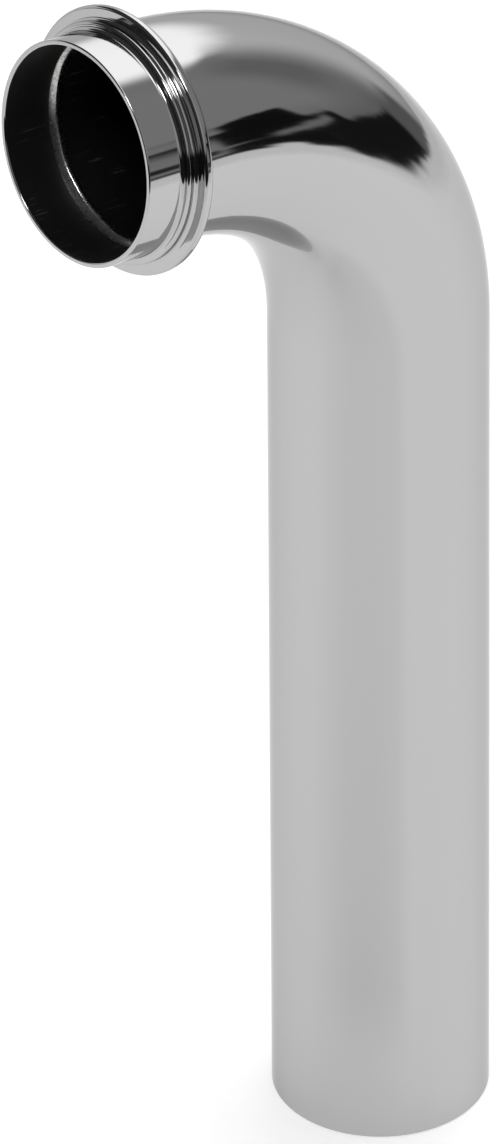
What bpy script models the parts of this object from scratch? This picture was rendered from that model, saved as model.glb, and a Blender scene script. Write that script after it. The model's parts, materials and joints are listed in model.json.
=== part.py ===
"""Outlet elbow of a tubular brass P-trap: a bent tube with a collared spigot brazed on its end.

The leg runs down along Z and stands on Z = 0. The spigot points along -X and a little up. Y = 0
is a mirror plane. The origin is the centre of the bottom of the part's box. Lengths are in
metres and angles in radians.
"""

import math

import bpy
from mathutils import Vector

# Driving dimensions
INCH = 0.0254
TUBE_RADIUS = 1.25 * INCH / 2
TUBE_WALL = 0.00081
OVERALL_HEIGHT = 8.0 * INCH
BEND_ANGLE = math.radians(82)
BEND_RADIUS = 0.049
MOUTH_PAST_BEND = 0.0124
GAP = 0.0003

# The ferrule. Depths are measured back from its mouth, radii from the spigot's axis.
SPIGOT_RADIUS = 0.0164
SPIGOT_WALL = 0.00075
SPIGOT_LENGTH = 0.0055
STEP_RADIUS = 0.0175
RIM_RADIUS = 0.01945
RIM_FRONT_DEPTH = 0.0077
COLLAR_BACK_DEPTH = 0.0093
TUBE_END_DEPTH = 0.0088

# The ferrule's rounds and fillets, from the mouth back
LIP_CHAMFER = 0.00015
LIP_ROUND = 0.00025
ROOT_FILLET = 0.0006
SHOULDER_ROUND = 0.00045
GROOVE_FILLET = 0.0006
RIM_FRONT_ROUND = 0.00045
RIM_BACK_ROUND = 0.0008

# The brazing filler in the corner between the tube's end and the ferrule's bore
FILLET_WIDTH = 0.0006
FILLET_HEIGHT = 0.0004

# Fineness of the round shapes
SIDES = 48
BEND_STEPS = 18
ARC_STEPS = 4

# Worked out from the above: the collar's section
SPIGOT_BORE = SPIGOT_RADIUS - SPIGOT_WALL
SOCKET_RADIUS = TUBE_RADIUS + GAP
SOCKET_DEPTH = TUBE_END_DEPTH - GAP
SHOULDER_DEPTH = SPIGOT_LENGTH + ROOT_FILLET + SHOULDER_ROUND
GROOVE_DEPTH = RIM_FRONT_DEPTH - GROOVE_FILLET
GROOVE_ANGLE = math.acos((GROOVE_DEPTH - SHOULDER_DEPTH) / (SHOULDER_ROUND + GROOVE_FILLET))
CREST_DEPTH = RIM_FRONT_DEPTH + RIM_FRONT_ROUND

# The bend: the way out along the spigot and the way up across it, in the mirror plane
OUTWARD = Vector((-math.sin(BEND_ANGLE), 0, math.cos(BEND_ANGLE)))
ACROSS = Vector((math.cos(BEND_ANGLE), 0, math.sin(BEND_ANGLE)))
BEND_TO_MOUTH = BEND_RADIUS * ACROSS + MOUTH_PAST_BEND * OUTWARD
BEND_TO_RIM_TOP = BEND_TO_MOUTH - CREST_DEPTH * OUTWARD + (RIM_RADIUS - RIM_FRONT_ROUND) * ACROSS

# The frame: the collar's top is the highest point, and the mouth's lower edge the furthest out
MOUTH_EDGE_REACH = BEND_RADIUS - BEND_TO_MOUTH.x + (SPIGOT_RADIUS - LIP_ROUND) * ACROSS.x
LEG_X = (MOUTH_EDGE_REACH - TUBE_RADIUS) / 2
BEND_Z = OVERALL_HEIGHT - RIM_FRONT_ROUND - BEND_TO_RIM_TOP.z
BEND_CENTRE = Vector((LEG_X - BEND_RADIUS, 0, BEND_Z))
MOUTH_CENTRE = BEND_CENTRE + BEND_TO_MOUTH


def clear_scene():
    for old in list(bpy.data.objects):
        bpy.data.objects.remove(old)


def new_collection(name):
    collection = bpy.data.collections.new(name)
    bpy.context.scene.collection.children.link(collection)
    return collection


def metal(name, colour, roughness):
    """A plain metal: its base colour and how rough it is."""
    material = bpy.data.materials.new(name)
    material.use_nodes = True
    shader = material.node_tree.nodes["Principled BSDF"]
    shader.inputs["Base Color"].default_value = (*colour, 1.0)
    shader.inputs["Metallic"].default_value = 1.0
    shader.inputs["Roughness"].default_value = roughness
    return material


def arc(centre, radius, start, end):
    """Points of an arc in the (depth, radius) plane, from the start angle to the end angle."""
    points = []
    for i in range(ARC_STEPS + 1):
        angle = math.radians(start + (end - start) * i / ARC_STEPS)
        points.append((centre[0] + radius * math.cos(angle), centre[1] + radius * math.sin(angle)))
    return points


def turn(name, outline, collection, material):
    """Turns a closed outline of (depth, radius) points about the spigot's axis.

    The outline starts at the mouth and runs along the outer side first. The Screw modifier
    turns it about the object's Z axis, which the object's own rotation lays along the spigot.
    """
    mesh = bpy.data.meshes.new(name)
    count = len(outline)
    edges = [(i, (i + 1) % count) for i in range(count)]
    mesh.from_pydata([(radius, 0, -depth) for depth, radius in outline], edges, [])
    piece = bpy.data.objects.new(name, mesh)
    collection.objects.link(piece)
    piece.location = MOUTH_CENTRE
    piece.rotation_euler = (0, -BEND_ANGLE, 0)
    screw = piece.modifiers.new("turned", "SCREW")
    screw.steps = SIDES
    screw.render_steps = SIDES
    screw.use_merge_vertices = True
    screw.merge_threshold = 0.00001
    screw.use_smooth_shade = True
    mesh.materials.append(material)
    return piece


def tube_path():
    """The tube's centreline: up the leg, round the bend and out to its end in the socket."""
    points = [Vector((LEG_X, 0, 0))]
    for i in range(BEND_STEPS + 1):
        angle = BEND_ANGLE * i / BEND_STEPS
        offset = Vector((math.cos(angle), 0, math.sin(angle))) * BEND_RADIUS
        points.append(BEND_CENTRE + offset)
    points.append(MOUTH_CENTRE - TUBE_END_DEPTH * OUTWARD)
    return points


def make_wall_tube(collection, material):
    """The bent tube: a round curve whose wall is made inwards by Solidify."""
    curve = bpy.data.curves.new("wall_tube", "CURVE")
    curve.dimensions = "3D"
    curve.bevel_depth = TUBE_RADIUS
    curve.bevel_resolution = (SIDES - 4) // 2
    curve.use_fill_caps = False
    path = tube_path()
    spline = curve.splines.new("POLY")
    spline.points.add(len(path) - 1)
    for point, place in zip(spline.points, path):
        point.co = (*place, 1.0)
    spline.use_smooth = True
    tube = bpy.data.objects.new("wall_tube", curve)
    collection.objects.link(tube)
    wall = tube.modifiers.new("wall", "SOLIDIFY")
    wall.thickness = TUBE_WALL
    wall.offset = -1
    curve.materials.append(material)
    return tube


def collar_outline():
    """The ferrule's section: lip, spigot, step, groove, rim and flat back, then the socket and the bore.

    The step's round runs straight into the groove's fillet, at the groove's angle.
    """
    groove_radius = STEP_RADIUS - SHOULDER_ROUND + (SHOULDER_ROUND + GROOVE_FILLET) * math.sin(GROOVE_ANGLE)
    slope = math.degrees(GROOVE_ANGLE)
    outline = [(LIP_CHAMFER, SPIGOT_BORE), (0, SPIGOT_BORE + LIP_CHAMFER)]
    outline += arc((LIP_ROUND, SPIGOT_RADIUS - LIP_ROUND), LIP_ROUND, 180, 90)
    outline += arc((SPIGOT_LENGTH, SPIGOT_RADIUS + ROOT_FILLET), ROOT_FILLET, 270, 360)
    outline += arc((SHOULDER_DEPTH, STEP_RADIUS - SHOULDER_ROUND), SHOULDER_ROUND, 180, slope)
    outline += arc((GROOVE_DEPTH, groove_radius), GROOVE_FILLET, 180 + slope, 360)[1:]
    outline += arc((CREST_DEPTH, RIM_RADIUS - RIM_FRONT_ROUND), RIM_FRONT_ROUND, 180, 90)
    outline += arc((COLLAR_BACK_DEPTH - RIM_BACK_ROUND, RIM_RADIUS - RIM_BACK_ROUND), RIM_BACK_ROUND, 90, 0)
    outline += [(COLLAR_BACK_DEPTH, SOCKET_RADIUS), (SOCKET_DEPTH, SOCKET_RADIUS)]
    outline += [(SOCKET_DEPTH, SPIGOT_BORE)]
    return outline


def make_spigot_collar(collection, material):
    return turn("spigot_collar", collar_outline(), collection, material)


def make_braze_fillet(collection, material):
    """A ring with a hollow, sloping face, in front of the tube's end."""
    outer = SPIGOT_BORE - GAP
    back = TUBE_END_DEPTH - GAP
    outline = [(back - FILLET_WIDTH, outer), (back, outer), (back, outer - FILLET_HEIGHT)]
    outline += [(back - FILLET_WIDTH / 3, outer - FILLET_HEIGHT / 2)]
    return turn("braze_fillet", outline, collection, material)


def main():
    clear_scene()
    parts = new_collection("p_trap_outlet_elbow")
    make_wall_tube(parts, metal("chrome_tube", (0.78, 0.79, 0.80), 0.08))
    make_spigot_collar(parts, metal("chrome_collar", (0.80, 0.81, 0.82), 0.05))
    make_braze_fillet(parts, metal("braze_filler", (0.62, 0.60, 0.55), 0.35))


main()
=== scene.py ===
"""Looks of the P-trap outlet elbow: a chrome tube with a collared spigot, in soft studio light.

Lengths are in metres. Depths are measured back from the spigot's mouth along the tube's
centreline, so one number says where a ring of the surface lies, from the mouth to the leg's end.
"""

import json
import math

import bmesh
import bpy
from mathutils import Matrix, Vector


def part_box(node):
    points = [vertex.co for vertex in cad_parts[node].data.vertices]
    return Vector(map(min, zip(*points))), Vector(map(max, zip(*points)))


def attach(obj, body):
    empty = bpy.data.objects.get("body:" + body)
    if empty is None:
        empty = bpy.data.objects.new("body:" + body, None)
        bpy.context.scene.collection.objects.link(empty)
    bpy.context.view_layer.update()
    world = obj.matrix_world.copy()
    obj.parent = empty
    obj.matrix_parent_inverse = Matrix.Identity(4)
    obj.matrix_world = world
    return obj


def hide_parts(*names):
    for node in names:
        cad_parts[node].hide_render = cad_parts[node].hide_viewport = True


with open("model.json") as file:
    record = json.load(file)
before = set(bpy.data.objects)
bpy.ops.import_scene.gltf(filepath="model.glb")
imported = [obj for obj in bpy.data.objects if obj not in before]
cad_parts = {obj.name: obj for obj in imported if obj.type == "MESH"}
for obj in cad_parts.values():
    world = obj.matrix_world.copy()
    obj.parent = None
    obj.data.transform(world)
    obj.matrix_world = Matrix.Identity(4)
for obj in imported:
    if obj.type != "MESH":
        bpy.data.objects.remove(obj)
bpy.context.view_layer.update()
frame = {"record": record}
mounts = {mount["name"]: mount for mount in frame["record"]["mounts"]}
_, tube_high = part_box("wall_tube")

# The tube: sizes from the frame, and the wall and bend that the frame doesn't state
TUBE_RADIUS = tube_high.y
TUBE_WALL = 0.00081
BEND_RADIUS = 0.049
BEND_FLATTENING = 0.018
TUBE_END_DEPTH = 0.0088
CUT_ROUND = 0.00018

# The ferrule's outline, from the mouth back
SPIGOT_RADIUS = 0.0164
SPIGOT_BORE = 0.01565
SPIGOT_LENGTH = 0.0055
LIP_ROUND = 0.0002
ROOT_FILLET = 0.0006
STEP_RADIUS = 0.0175
SHOULDER_ROUND = 0.00045
RIM_RADIUS = 0.01945
RIM_FRONT_DEPTH = 0.0077
COLLAR_BACK_DEPTH = 0.0093
GROOVE_FILLET = 0.0006
RIM_FRONT_ROUND = 0.00045
RIM_BACK_ROUND = 0.0008
SOCKET_GAP = 0.0003

# The CAD model's lip, which leaves a flat ring at the mouth. The mouth's mount lies on its middle.
CAD_LIP_CHAMFER = 0.00015
CAD_LIP_ROUND = 0.00025

# The brazing filler: an uneven bead from the ferrule's bore over the edge of the tube's end
BEAD_FRONT_DEPTH = 0.0079
BEAD_BACK_DEPTH = 0.0098
BEAD_SKIN = 0.00003
BEAD_RUN_HEIGHT = 0.00075
BEAD_RUN_ANGLE = math.radians(150)
BEAD_LEAST = 0.12
BEAD_MOST = 0.80
BEAD_COARSE_WAVE = 0.14
BEAD_FINE_WAVE = 0.06

# The metals' colours, roughness and bump heights
CHROME_DARK = (0.462, 0.462, 0.462)
CHROME_LIGHT = (0.496, 0.496, 0.496)
CHROME_ROUGHNESS = (0.045, 0.075)
CHROME_LINE_ROUGHNESS = 0.05
CHROME_WAVE_HEIGHT = 0.00002
BORE_DARK = (0.17, 0.17, 0.17)
BORE_LIGHT = (0.60, 0.60, 0.60)
BORE_ROUGHNESS = (0.38, 0.60)
BORE_MARK_DEPTH = 0.00001
FILLER_DARK = (0.46, 0.455, 0.45)
FILLER_LIGHT = (0.56, 0.555, 0.545)
FILLER_ROUGHNESS = (0.36, 0.22)
FILLER_LUMP_HEIGHT = 0.00003
EDGE_TINT = (0.72, 0.72, 0.72)

# The metals' grain: blobs per metre, and how many times longer they are along the tube than across it
CHROME_CLOUDS = (85.0, 14.0)
CHROME_LINES = (2600.0, 60.0)
CHROME_WAVES = (90.0, 1.5)
BORE_MARKS = (4200.0, 28.0)
BORE_PATCHES = (150.0, 1.0)
FILLER_GRAINS = (2200.0, 1.0)
FILLER_LUMPS = (500.0, 1.0)

# Fineness of the surfaces, and the vertex attribute that holds a place on the unbent part
SIDES = 256
ARC_STEPS = 20
SPIGOT_SIDE_STEPS = 4
BEND_STEPS = 96
LEG_STEPS = 24
BEAD_STEPS = 60
HAIR = 0.00006
UNBENT = "unbent"

# The camera: far off, with a long lens, and turned a little about its own axis
CAMERA_AZIMUTH = math.radians(-38.76)
CAMERA_ELEVATION = math.radians(35.24)
CAMERA_ROLL = math.radians(-0.415)
CAMERA_DISTANCE = 2.913
CAMERA_LENS = 645.0
CAMERA_REACH = 50.0
CAMERA_AIM = Vector((-0.0075, -0.0050, 0.1046))

# The floor: a pale disc whose far edge fades out, with a stretch of painted shade in front of the part:
# a dimmer glow that stands in for shade, which the chrome leg mirrors. The painted shade comes in between
# the two left azimuths, goes out between the two right ones, and starts between the two distances from the
# leg.
FLOOR_RADIUS = 0.55
FLOOR_FADE_START = 0.42
FLOOR_SIDES = 128
FLOOR_DROP = 0.0002
FLOOR_GREY = 0.45
FLOOR_ROUGHNESS = 0.9
FLOOR_GLOW = 0.64
PAINTED_SHADE_GLOW = 0.54
PAINTED_SHADE_LEFT = (-115, -60)
PAINTED_SHADE_RIGHT = (-26, -8)
PAINTED_SHADE_REACH = (0.03, 0.055)

# The key light on the floor
KEY_STRENGTH = 1.2
KEY_SPREAD = math.radians(80)
KEY_AZIMUTH = math.radians(140)
KEY_ELEVATION = math.radians(62)

# The studio round the part, as windows of azimuth and elevation in degrees: what the chrome mirrors.
# Azimuth 0 is towards -Y and 90 towards +X. Later windows lie over earlier ones. A window's
# elevations rise by its slope for each degree of azimuth past its left side.
BACKDROP_VALUE = 0.97
ROOM_VALUE = 0.20
EDGE_WAVE = 1.6
EDGE_WAVE_SCALE = 9.0
STUDIO = (
    # name, azimuths, elevations, slope, softness across and up, brightness
    ("right wall", 28, 93, 4, 58, 0.0, 4, 8, 0.32),
    ("right wall's dim end", 74, 95, 8, 40, 0.0, 8, 10, 0.21),
    ("back wall", 100, 190, -14, 40, 0.0, 12, 10, 0.78),
    ("front wall", -60, 28, 6, 55, 0.0, 8, 10, 0.45),
    ("ceiling light", 36, 150, 56, 80, 0.0, 12, 5, 2.6),
    ("window's soft edge", 91.4, 150, 43.5, 90, -0.3, 11, 2.5, 1.8),
    ("window", 95, 150, 45, 90, -0.8, 9, 8, 1.8),
    ("far room", -190, 24, -30, 9, 0.0, 4, 3, 0.012),
    ("near wall's foot", 22, 38, -16, 7, 0.0, 1.2, 3, 0.30),
    ("far shelf", 20, 38, -18, -12.6, 0.0, 1.2, 0.8, 0.03),
    ("dark stand", 39.5, 55, -6.4, 11.5, 0.0, 1.0, 0.8, 0.008),
    ("dark stand's foot", 36.9, 42, -6.4, 6.0, 0.0, 0.6, 0.8, 0.008),
    ("dark box", 53, 64, -3, 3.6, 0.0, 1.0, 1.0, 0.012),
    ("dark shelf", 36.8, 53, -20, -7.8, 0.25, 1.0, 0.7, 0.010),
    ("dark cabinet", 51, 89, -30, 0.5, -0.1, 3.0, 1.2, 0.012),
    ("cabinet's end", 88, 103, -16, -3, 0.0, 3, 3, 0.16),
    ("pale ribbon", 44, 60, -7.0, -4.2, 0.42, 1.5, 1.0, 0.24),
    ("dark chair", 33.4, 36.0, -10.5, -6.8, 0.0, 0.5, 0.8, 0.012),
    ("dark left", -143, -62, -30, 16, 0.0, 1.5, 3, 0.012),
    ("unlit side", -190, -62, 15, 84, 0.0, 2, 2, 0.05),
    ("unlit side's foot", -140, -62, 3, 30, 0.0, 2, 2, 0.05),
    ("unlit corner", 147, 190, 15, 78, 0.0, 2, 2, 0.05),
    ("camera's side", -64, -28, 10, 48, 0.0, 2, 3, 0.05),
    ("pale corner", 142, 190, -20, 13, 0.0, 2, 2, 0.80),
    ("pale side", -190, -144, -20, 13, 0.0, 2, 2, 0.80),
    ("lamp", -70, -50, 50, 62, 0.0, 2.5, 2.5, 22.0),
    ("table", -190, 190, -120, -14.4, 0.0, 4, 0.8, 0.95),
    ("table's edge", 41.0, 45.0, -18, -12.3, 0.0, 1.2, 0.8, 0.95),
    ("bulge", 50, 60, -16.6, -12, 0.0, 3, 1.0, 0.012),
    ("bulge's end", 58, 79, -17.1, -12, 0.1, 2.5, 2.0, 0.012),
)

# Worked out from the frame: where the spigot points, and where the bend begins and ends
OUTWARD = Vector(mounts["spigot_mouth"]["axis"])
BEND_ANGLE = math.acos(OUTWARD.z)
ACROSS = Vector((OUTWARD.z, 0.0, -OUTWARD.x))
LEG_X = tube_high.x - TUBE_RADIUS
MOUTH_MIDDLE_RADIUS = (SPIGOT_BORE + CAD_LIP_CHAMFER + SPIGOT_RADIUS - CAD_LIP_ROUND) / 2
MOUTH_CENTRE = Vector(mounts["spigot_mouth"]["pos_m"]) - MOUTH_MIDDLE_RADIUS * ACROSS
BEND_END_DEPTH = (LEG_X - MOUTH_CENTRE.x - BEND_RADIUS * (1 - ACROSS.x)) / ACROSS.z
LEG_TOP_DEPTH = BEND_END_DEPTH + BEND_RADIUS * BEND_ANGLE
LEG_TOP_Z = MOUTH_CENTRE.z - BEND_END_DEPTH * OUTWARD.z - BEND_RADIUS * ACROSS.z
LEG_END_DEPTH = LEG_TOP_DEPTH + LEG_TOP_Z
BEND_CENTRE = Vector((LEG_X - BEND_RADIUS, 0.0, LEG_TOP_Z))


def station(depth):
    """The centreline's point at a depth, the direction across it in the mirror plane, and the squash."""
    if depth <= BEND_END_DEPTH:
        return MOUTH_CENTRE - depth * OUTWARD, ACROSS, 1.0
    if depth >= LEG_TOP_DEPTH:
        return Vector((LEG_X, 0.0, LEG_END_DEPTH - depth)), Vector((1.0, 0.0, 0.0)), 1.0
    angle = BEND_ANGLE * (LEG_TOP_DEPTH - depth) / (LEG_TOP_DEPTH - BEND_END_DEPTH)
    across = Vector((math.cos(angle), 0.0, math.sin(angle)))
    squash = 1.0 - BEND_FLATTENING * math.sin(math.pi * angle / BEND_ANGLE) ** 2
    return BEND_CENTRE + BEND_RADIUS * across, across, squash


def arc(depth, radius, size, start, end):
    """Points of an arc round (depth, radius), from the start angle to the end angle in degrees."""
    points = []
    for i in range(ARC_STEPS + 1):
        angle = math.radians(start + (end - start) * i / ARC_STEPS)
        points.append((depth + size * math.cos(angle), radius + size * math.sin(angle)))
    return points


def held(outline):
    """The outline with a point a hair from each end of its long straight runs, so that they shade flat."""
    points = []
    for here, there in zip(outline, outline[1:]):
        points.append(here)
        run = math.dist(here, there)
        if run > 5 * HAIR:
            for part in (HAIR / run, 1 - HAIR / run):
                points.append(tuple(a + (b - a) * part for a, b in zip(here, there)))
    points.append(outline[-1])
    return points


def skin(name, outer, inner, materials, bump=None):
    """A closed tubular skin: rings along the outer outline, back along the inner one, and round again.

    The outlines hold (depth, radius) points. The first material covers the outer side and the
    second the inner one. A bump, if given, adds to the inner radius at a (depth, angle). Each vertex
    keeps its place on the unbent part, for the materials' grain.
    """
    mesh = bmesh.new()
    unbent = mesh.verts.layers.float_vector.new(UNBENT)
    rings = []
    for i, (depth, radius) in enumerate(outer + inner):
        centre, across, squash = station(depth)
        ring = []
        for side in range(SIDES):
            angle = 2 * math.pi * side / SIDES
            reach = radius + (bump(depth, angle) if bump and i >= len(outer) else 0.0)
            sideways = math.sin(angle) * Vector((0.0, 1.0, 0.0))
            vertex = mesh.verts.new(centre + reach * (squash * math.cos(angle) * across + sideways))
            vertex[unbent] = (reach * math.cos(angle), reach * math.sin(angle), depth)
            ring.append(vertex)
        rings.append(ring)
    for i, ring in enumerate(rings):
        after = rings[(i + 1) % len(rings)]
        for side in range(SIDES):
            beside = (side + 1) % SIDES
            face = mesh.faces.new((ring[side], ring[beside], after[beside], after[side]))
            face.smooth = True
            face.material_index = 0 if i < len(outer) - 1 or len(materials) == 1 else 1
    bmesh.ops.recalc_face_normals(mesh, faces=mesh.faces)
    data = bpy.data.meshes.new(name)
    mesh.to_mesh(data)
    mesh.free()
    for material in materials:
        data.materials.append(material)
    piece = bpy.data.objects.new(name, data)
    bpy.context.scene.collection.objects.link(piece)
    return piece


def steps(start, end, count):
    """Evenly spaced depths from start to end, both included."""
    return [start + (end - start) * i / count for i in range(count + 1)]


def make_tube(materials):
    """The bent tube: the outer side from the socket to the leg's cut end, and the bore back."""
    bore_radius = TUBE_RADIUS - TUBE_WALL
    depths = steps(TUBE_END_DEPTH + CUT_ROUND, BEND_END_DEPTH, SPIGOT_SIDE_STEPS)
    depths += steps(BEND_END_DEPTH, LEG_TOP_DEPTH, BEND_STEPS)[1:]
    depths += steps(LEG_TOP_DEPTH, LEG_END_DEPTH - CUT_ROUND, LEG_STEPS)[1:-1]
    foot = LEG_END_DEPTH - CUT_ROUND
    outer = [(TUBE_END_DEPTH, TUBE_RADIUS - CUT_ROUND)]
    outer += [(depth, TUBE_RADIUS) for depth in depths]
    outer += arc(foot, TUBE_RADIUS - CUT_ROUND, CUT_ROUND, 90, 0)
    outer += arc(foot, bore_radius + CUT_ROUND, CUT_ROUND, 0, -90)
    inner = [(depth, bore_radius) for depth in reversed(depths[:-1])]
    inner += [(TUBE_END_DEPTH, bore_radius + CUT_ROUND)]
    return skin("tube", outer, inner, materials)


def make_collar(materials):
    """The turned ferrule: lip, spigot, root fillet, step, groove, rim and back, then socket and bore."""
    shoulder_depth = SPIGOT_LENGTH + ROOT_FILLET + SHOULDER_ROUND
    groove_depth = RIM_FRONT_DEPTH - GROOVE_FILLET
    slope = math.acos((groove_depth - shoulder_depth) / (SHOULDER_ROUND + GROOVE_FILLET))
    groove_radius = STEP_RADIUS - SHOULDER_ROUND + (SHOULDER_ROUND + GROOVE_FILLET) * math.sin(slope)
    slope = math.degrees(slope)
    socket_depth = TUBE_END_DEPTH - SOCKET_GAP
    socket_radius = TUBE_RADIUS + SOCKET_GAP
    outer = arc(LIP_ROUND, SPIGOT_BORE + LIP_ROUND, LIP_ROUND, 270, 180)
    outer += arc(LIP_ROUND, SPIGOT_RADIUS - LIP_ROUND, LIP_ROUND, 180, 90)
    outer += arc(SPIGOT_LENGTH, SPIGOT_RADIUS + ROOT_FILLET, ROOT_FILLET, 270, 360)
    outer += arc(shoulder_depth, STEP_RADIUS - SHOULDER_ROUND, SHOULDER_ROUND, 180, slope)
    outer += arc(groove_depth, groove_radius, GROOVE_FILLET, 180 + slope, 360)[1:]
    outer += arc(RIM_FRONT_DEPTH + RIM_FRONT_ROUND, RIM_RADIUS - RIM_FRONT_ROUND, RIM_FRONT_ROUND, 180, 90)
    outer += arc(COLLAR_BACK_DEPTH - RIM_BACK_ROUND, RIM_RADIUS - RIM_BACK_ROUND, RIM_BACK_ROUND, 90, 0)
    outer += [(COLLAR_BACK_DEPTH, socket_radius)]
    inner = [(socket_depth, socket_radius), (socket_depth, SPIGOT_BORE), (LIP_ROUND + HAIR, SPIGOT_BORE)]
    return skin("ferrule", held(outer), held(inner), materials)


def run_share(angle):
    """How much filler has run together at an angle: little at the top, most on the lower side, unevenly."""
    low = max(0.0, math.cos(angle - BEAD_RUN_ANGLE)) ** 1.5
    waves = BEAD_COARSE_WAVE * math.sin(5 * angle) + BEAD_FINE_WAVE * math.sin(13 * angle + 1.0)
    return BEAD_LEAST + low * (BEAD_MOST + waves)


def make_bead(materials):
    """The bead of filler: from the ferrule's bore over the tube's edge, fuller on its lower side."""
    socket_depth = TUBE_END_DEPTH - SOCKET_GAP
    crest = TUBE_RADIUS - TUBE_WALL - HAIR
    foot = SPIGOT_BORE - HAIR
    outer = [(BEAD_FRONT_DEPTH, foot), (socket_depth - HAIR, foot), (socket_depth - HAIR, crest)]
    outer += [(BEAD_BACK_DEPTH, crest)]
    inner = []
    for depth in steps(BEAD_BACK_DEPTH, BEAD_FRONT_DEPTH, BEAD_STEPS)[:-1]:
        rise = min(1.0, (depth - BEAD_FRONT_DEPTH) / (socket_depth - BEAD_FRONT_DEPTH))
        inner.append((depth, foot + (crest - BEAD_SKIN - foot) * math.sin(math.pi / 2 * rise)))

    def run(depth, angle):
        along = (depth - BEAD_FRONT_DEPTH) / (BEAD_BACK_DEPTH - BEAD_FRONT_DEPTH)
        return -BEAD_RUN_HEIGHT * run_share(angle) * math.sin(math.pi * along) ** 0.8

    return skin("filler", outer, inner, materials, run)


def maths(tree, operation, first, second=None):
    """A Math node. An input is a socket or a number."""
    node = tree.nodes.new("ShaderNodeMath")
    node.operation = operation
    for socket, value in zip(node.inputs, (first, second)):
        if value is None:
            continue
        if isinstance(value, (int, float)):
            socket.default_value = value
        else:
            tree.links.new(value, socket)
    return node.outputs[0]


def ramp(tree, value, start, end, low=0.0, high=1.0):
    """A smooth step: low up to start, high from end on."""
    node = tree.nodes.new("ShaderNodeMapRange")
    node.interpolation_type = "SMOOTHSTEP"
    tree.links.new(value, node.inputs["Value"])
    node.inputs["From Min"].default_value = start
    node.inputs["From Max"].default_value = end
    node.inputs["To Min"].default_value = low
    node.inputs["To Max"].default_value = high
    return node.outputs["Result"]


def mixed(tree, factor, first, second):
    """A Mix node between two numbers or sockets."""
    node = tree.nodes.new("ShaderNodeMix")
    for socket, value in zip((node.inputs[0], node.inputs[2], node.inputs[3]), (factor, first, second)):
        if isinstance(value, (int, float)):
            socket.default_value = value
        else:
            tree.links.new(value, socket)
    return node.outputs[0]


def unbent_noise(tree, grain, detail):
    """Noise on the unbent part. The grain says its blobs per metre and their stretch along the tube."""
    scale, stretch = grain
    place = tree.nodes.new("ShaderNodeAttribute")
    place.attribute_name = UNBENT
    mapping = tree.nodes.new("ShaderNodeMapping")
    mapping.inputs["Scale"].default_value = (scale, scale, scale / stretch)
    tree.links.new(place.outputs["Vector"], mapping.inputs["Vector"])
    noise = tree.nodes.new("ShaderNodeTexNoise")
    noise.inputs["Scale"].default_value = 1.0
    noise.inputs["Detail"].default_value = detail
    tree.links.new(mapping.outputs["Vector"], noise.inputs["Vector"])
    return noise.outputs["Fac"]


def tinted(tree, value, dark, light):
    """A colour between dark and light."""
    node = tree.nodes.new("ShaderNodeMix")
    node.data_type = "RGBA"
    tree.links.new(value, node.inputs[0])
    node.inputs[6].default_value = (*dark, 1.0)
    node.inputs[7].default_value = (*light, 1.0)
    return node.outputs[2]


def metal(name):
    """A new metal material, its tree and its shader."""
    material = bpy.data.materials.new(name)
    material.use_nodes = True
    shader = material.node_tree.nodes["Principled BSDF"]
    shader.inputs["Metallic"].default_value = 1.0
    shader.inputs["Specular Tint"].default_value = (*EDGE_TINT, 1.0)
    return material, material.node_tree, shader


def dented(tree, shader, height, distance):
    """Bumps the shader's surface by a height of 0 to 1 times a distance in metres."""
    bump = tree.nodes.new("ShaderNodeBump")
    bump.inputs["Distance"].default_value = distance
    tree.links.new(height, bump.inputs["Height"])
    tree.links.new(bump.outputs["Normal"], shader.inputs["Normal"])


def chrome_material():
    """Polished chrome plate: a faint cloudiness, fine polishing lines and a slight waviness."""
    material, tree, shader = metal("chrome")
    clouds = unbent_noise(tree, CHROME_CLOUDS, 4.0)
    lines = unbent_noise(tree, CHROME_LINES, 3.0)
    waves = unbent_noise(tree, CHROME_WAVES, 2.0)
    tree.links.new(tinted(tree, clouds, CHROME_DARK, CHROME_LIGHT), shader.inputs["Base Color"])
    haze = ramp(tree, clouds, 0.35, 0.7, *CHROME_ROUGHNESS)
    polishing = ramp(tree, lines, 0.58, 0.75, 0.0, CHROME_LINE_ROUGHNESS)
    tree.links.new(maths(tree, "ADD", haze, polishing), shader.inputs["Roughness"])
    dented(tree, shader, waves, CHROME_WAVE_HEIGHT)
    return material


def bore_material():
    """The unpolished inside: dark metal with fine draw marks along it and a few brighter scratches."""
    material, tree, shader = metal("bore")
    marks = unbent_noise(tree, BORE_MARKS, 3.0)
    patches = unbent_noise(tree, BORE_PATCHES, 3.0)
    scratches = maths(tree, "MULTIPLY", ramp(tree, marks, 0.60, 0.72), ramp(tree, patches, 0.50, 0.64))
    tree.links.new(tinted(tree, scratches, BORE_DARK, BORE_LIGHT), shader.inputs["Base Color"])
    tree.links.new(ramp(tree, scratches, 0.0, 1.0, *BORE_ROUGHNESS), shader.inputs["Roughness"])
    dented(tree, shader, marks, BORE_MARK_DEPTH)
    return material


def filler_material():
    """Brazing filler: a bright, lumpy skin with duller, darker grains."""
    material, tree, shader = metal("filler")
    grains = unbent_noise(tree, FILLER_GRAINS, 4.0)
    lumps = unbent_noise(tree, FILLER_LUMPS, 3.0)
    colour = tinted(tree, ramp(tree, grains, 0.3, 0.7), FILLER_DARK, FILLER_LIGHT)
    tree.links.new(colour, shader.inputs["Base Color"])
    tree.links.new(ramp(tree, grains, 0.3, 0.7, *FILLER_ROUGHNESS), shader.inputs["Roughness"])
    dented(tree, shader, lumps, FILLER_LUMP_HEIGHT)
    return material


def direction(azimuth, elevation):
    """The unit vector that points out at an azimuth and an elevation."""
    level = math.cos(elevation)
    return Vector((math.sin(azimuth) * level, -math.cos(azimuth) * level, math.sin(elevation)))


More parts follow.
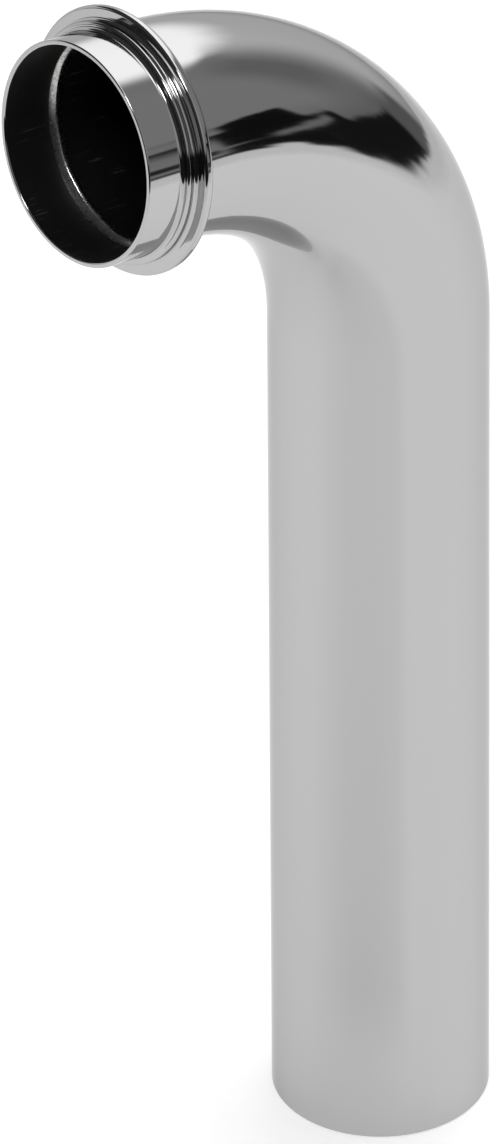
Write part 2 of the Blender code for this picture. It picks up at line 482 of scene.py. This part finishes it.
def make_camera():
    data = bpy.data.cameras.new("camera")
    data.lens = CAMERA_LENS
    data.clip_end = CAMERA_REACH
    camera = bpy.data.objects.new("camera", data)
    bpy.context.scene.collection.objects.link(camera)
    back = direction(CAMERA_AZIMUTH, CAMERA_ELEVATION)
    turn = (-back).to_track_quat("-Z", "Y").to_matrix() @ Matrix.Rotation(CAMERA_ROLL, 3, "Z")
    camera.rotation_euler = turn.to_euler()
    camera.location = CAMERA_AIM + CAMERA_DISTANCE * back
    bpy.context.scene.camera = camera


def azimuth_of(tree, place):
    """The azimuth of a place in degrees, and its height."""
    split = tree.nodes.new("ShaderNodeSeparateXYZ")
    tree.links.new(place, split.inputs[0])
    backwards = maths(tree, "MULTIPLY", split.outputs["Y"], -1.0)
    return maths(tree, "DEGREES", maths(tree, "ARCTAN2", split.outputs["X"], backwards)), split.outputs["Z"]


def make_world():
    """The studio: a pale backdrop to the camera, and to everything else the room that the chrome mirrors."""
    world = bpy.data.worlds.new("studio")
    world.use_nodes = True
    tree = world.node_tree
    out = tree.nodes["World Output"]
    room = tree.nodes["Background"]
    backdrop = tree.nodes.new("ShaderNodeBackground")
    backdrop.inputs["Color"].default_value = (BACKDROP_VALUE, BACKDROP_VALUE, BACKDROP_VALUE, 1.0)
    place = tree.nodes.new("ShaderNodeTexCoord").outputs["Generated"]
    azimuth, upward = azimuth_of(tree, place)
    wave = tree.nodes.new("ShaderNodeTexNoise")
    wave.inputs["Scale"].default_value = EDGE_WAVE_SCALE
    tree.links.new(place, wave.inputs["Vector"])
    shake = maths(tree, "MULTIPLY", maths(tree, "SUBTRACT", wave.outputs["Fac"], 0.5), 2 * EDGE_WAVE)
    elevation = maths(tree, "ADD", maths(tree, "DEGREES", maths(tree, "ARCSINE", upward)), shake)
    value = ROOM_VALUE
    for _, left, right, low, high, slope, soft_across, soft_up, brightness in STUDIO:
        across = maths(
            tree, "MULTIPLY",
            ramp(tree, azimuth, left - soft_across, left + soft_across),
            ramp(tree, azimuth, right - soft_across, right + soft_across, 1.0, 0.0),
        )
        rise = maths(tree, "MULTIPLY", maths(tree, "SUBTRACT", azimuth, left), -slope)
        height = maths(tree, "ADD", elevation, rise)
        up = maths(
            tree, "MULTIPLY",
            ramp(tree, height, low - soft_up, low + soft_up),
            ramp(tree, height, high - soft_up, high + soft_up, 1.0, 0.0),
        )
        value = mixed(tree, maths(tree, "MULTIPLY", across, up), value, brightness)
    tree.links.new(value, room.inputs["Color"])
    which = tree.nodes.new("ShaderNodeMixShader")
    tree.links.new(tree.nodes.new("ShaderNodeLightPath").outputs["Is Camera Ray"], which.inputs["Fac"])
    tree.links.new(room.outputs[0], which.inputs[1])
    tree.links.new(backdrop.outputs[0], which.inputs[2])
    tree.links.new(which.outputs[0], out.inputs["Surface"])
    bpy.context.scene.world = world


def floor_material():
    """Matt and pale, with painted shade in front of the part (a dimmer glow), and fading out towards the
    floor's edge.
    """
    material = bpy.data.materials.new("floor")
    material.use_nodes = True
    tree = material.node_tree
    shader = tree.nodes["Principled BSDF"]
    shader.inputs["Base Color"].default_value = (FLOOR_GREY, FLOOR_GREY, FLOOR_GREY, 1.0)
    shader.inputs["Emission Color"].default_value = (1.0, 1.0, 1.0, 1.0)
    shader.inputs["Roughness"].default_value = FLOOR_ROUGHNESS
    shader.inputs["Specular IOR Level"].default_value = 0.0
    place = tree.nodes.new("ShaderNodeTexCoord").outputs["Object"]
    length = tree.nodes.new("ShaderNodeVectorMath")
    length.operation = "LENGTH"
    tree.links.new(place, length.inputs[0])
    reach = length.outputs["Value"]
    azimuth, _ = azimuth_of(tree, place)
    # Painted shade: the floor glows less in a sector in front of the part, away from the leg's foot, so the
    # leg mirrors a shade there
    painted_shade_sector = maths(
        tree, "MULTIPLY",
        ramp(tree, azimuth, *PAINTED_SHADE_LEFT),
        ramp(tree, azimuth, *PAINTED_SHADE_RIGHT, 1.0, 0.0),
    )
    dim = maths(tree, "MULTIPLY", painted_shade_sector, ramp(tree, reach, *PAINTED_SHADE_REACH))
    tree.links.new(mixed(tree, dim, FLOOR_GLOW, PAINTED_SHADE_GLOW), shader.inputs["Emission Strength"])
    tree.links.new(ramp(tree, reach, FLOOR_FADE_START, FLOOR_RADIUS, 1.0, 0.0), shader.inputs["Alpha"])
    return material


def make_floor():
    mesh = bmesh.new()
    bmesh.ops.create_circle(mesh, cap_ends=True, segments=FLOOR_SIDES, radius=FLOOR_RADIUS)
    data = bpy.data.meshes.new("floor")
    mesh.to_mesh(data)
    mesh.free()
    data.materials.append(floor_material())
    floor = bpy.data.objects.new("floor", data)
    floor.location = (LEG_X, 0.0, -FLOOR_DROP)
    bpy.context.scene.collection.objects.link(floor)


def make_key_light():
    """A broad soft light from behind on the right, which the chrome doesn't mirror."""
    data = bpy.data.lights.new("key", "SUN")
    data.energy = KEY_STRENGTH
    data.angle = KEY_SPREAD
    key = bpy.data.objects.new("key", data)
    key.rotation_euler = direction(KEY_AZIMUTH, KEY_ELEVATION).to_track_quat("Z", "Y").to_euler()
    key.visible_glossy = False
    bpy.context.scene.collection.objects.link(key)


chrome = chrome_material()
bore = bore_material()
filler = filler_material()

tube = make_tube([chrome, bore])
collar = make_collar([chrome, bore])
bead = make_bead([filler])

for piece, node, slot in (
    (tube, "wall_tube", "tube_chrome"),
    (collar, "spigot_collar", "collar_chrome"),
    (bead, "braze_fillet", "braze_filler"),
):
    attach(piece, "root")
    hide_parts(node)

make_camera()
make_world()
make_floor()
make_key_light()
bpy.context.scene.view_settings.view_transform = "Standard"
